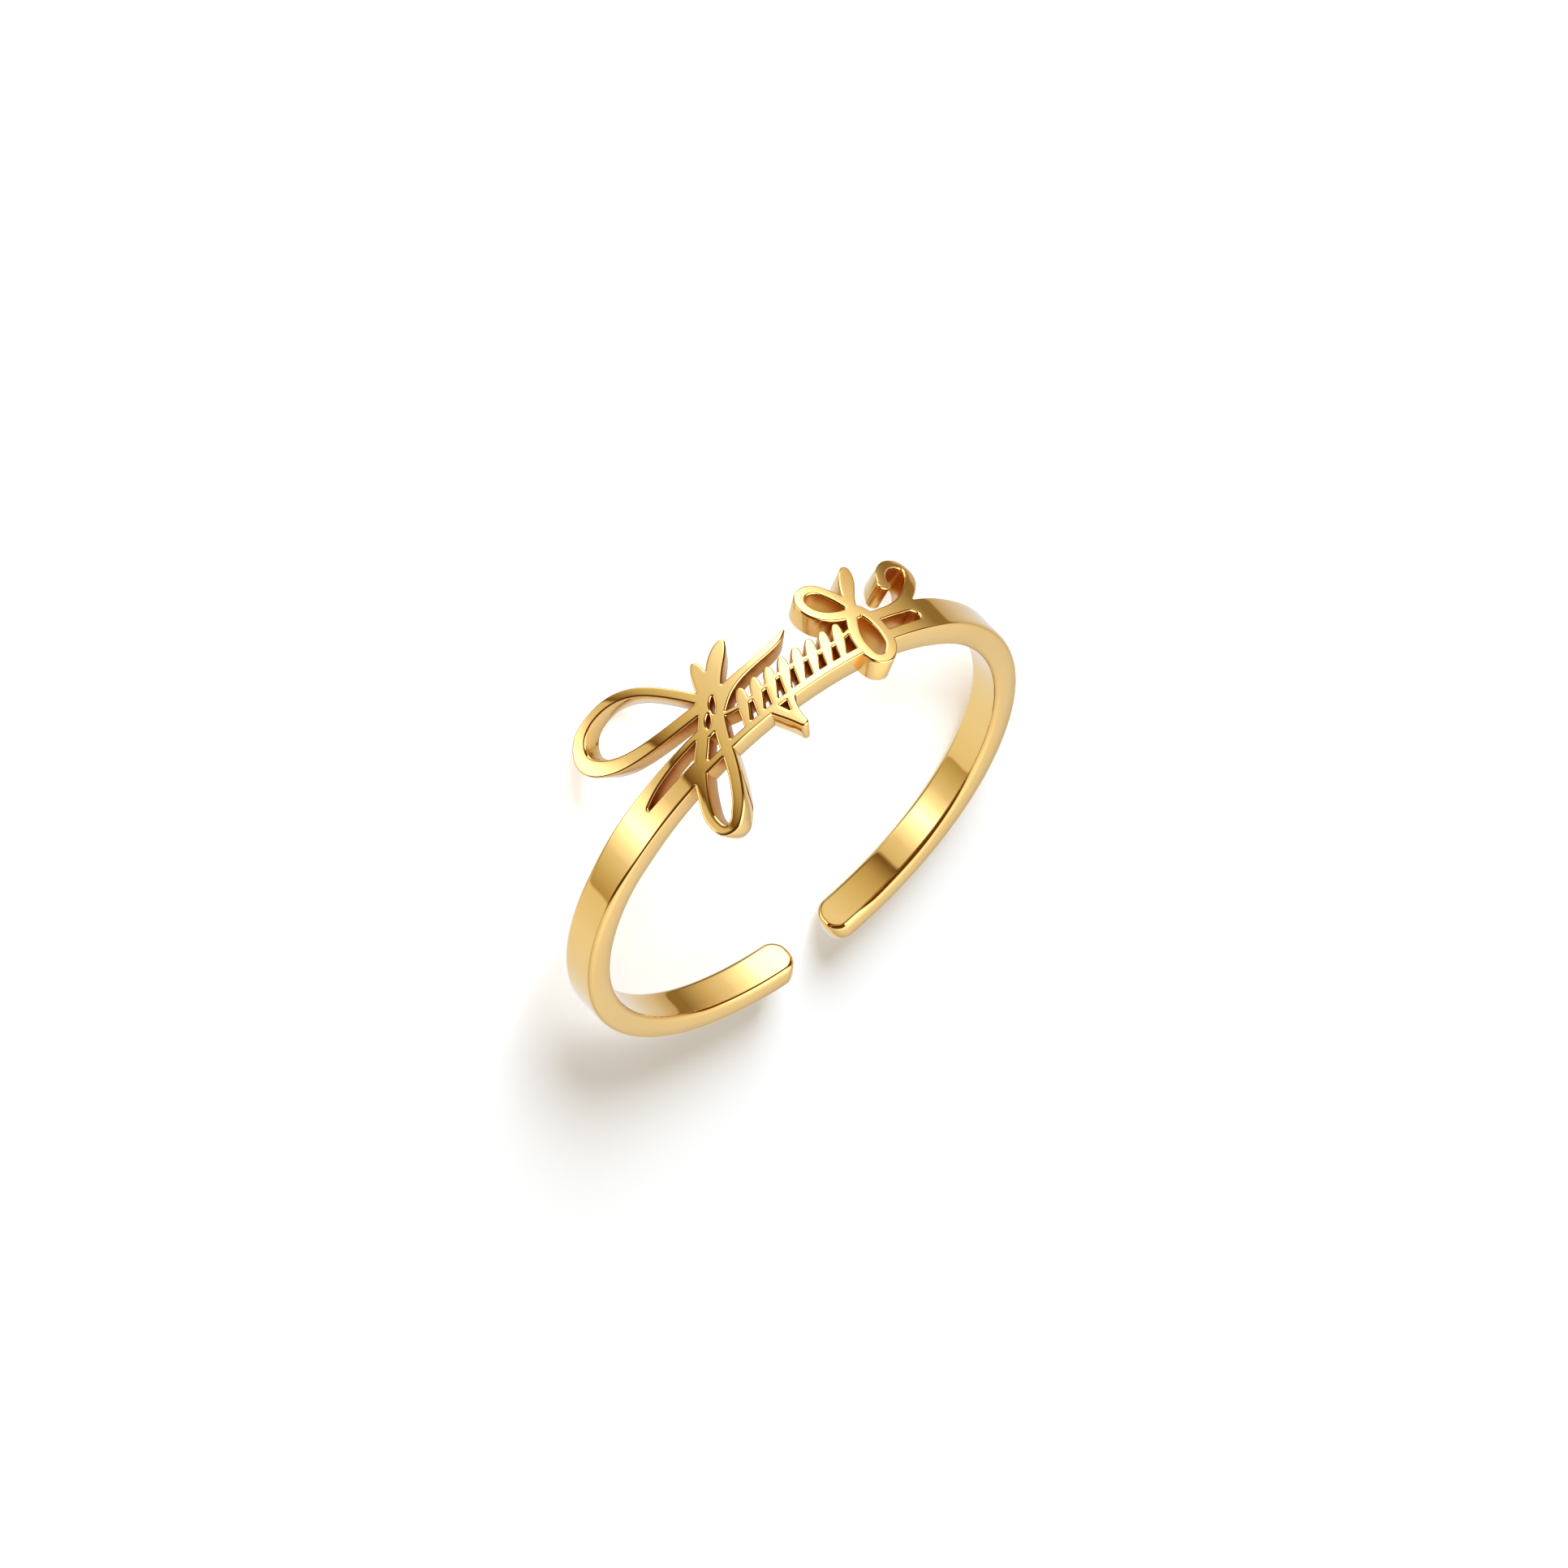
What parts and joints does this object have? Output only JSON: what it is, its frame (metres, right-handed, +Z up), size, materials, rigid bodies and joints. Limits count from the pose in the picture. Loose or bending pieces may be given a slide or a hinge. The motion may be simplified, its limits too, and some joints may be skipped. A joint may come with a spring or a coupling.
{
  "type": "open finger ring",
  "caption": "Open finger ring whose front is a pierced floral ornament of loops, leaves and a scroll, cut and rolled from one flat strip of gold-coloured metal.",
  "frame": {"origin": "middle of the ring's bounding box, on the floor that the ring lies on", "axes": "+Z up from the floor, -Y the way the ornament faces, +Y towards the gap at the back of the band, +X towards the tall loop. The finger axis leans 10.6 degrees from +Z."},
  "size_m": [0.0196, 0.0198, 0.0072],
  "materials": {
    "polished_gold": "polished"
  },
  "bodies": {
    "root": {"open_ring": "polished_gold"}
  },
  "joints": []
}
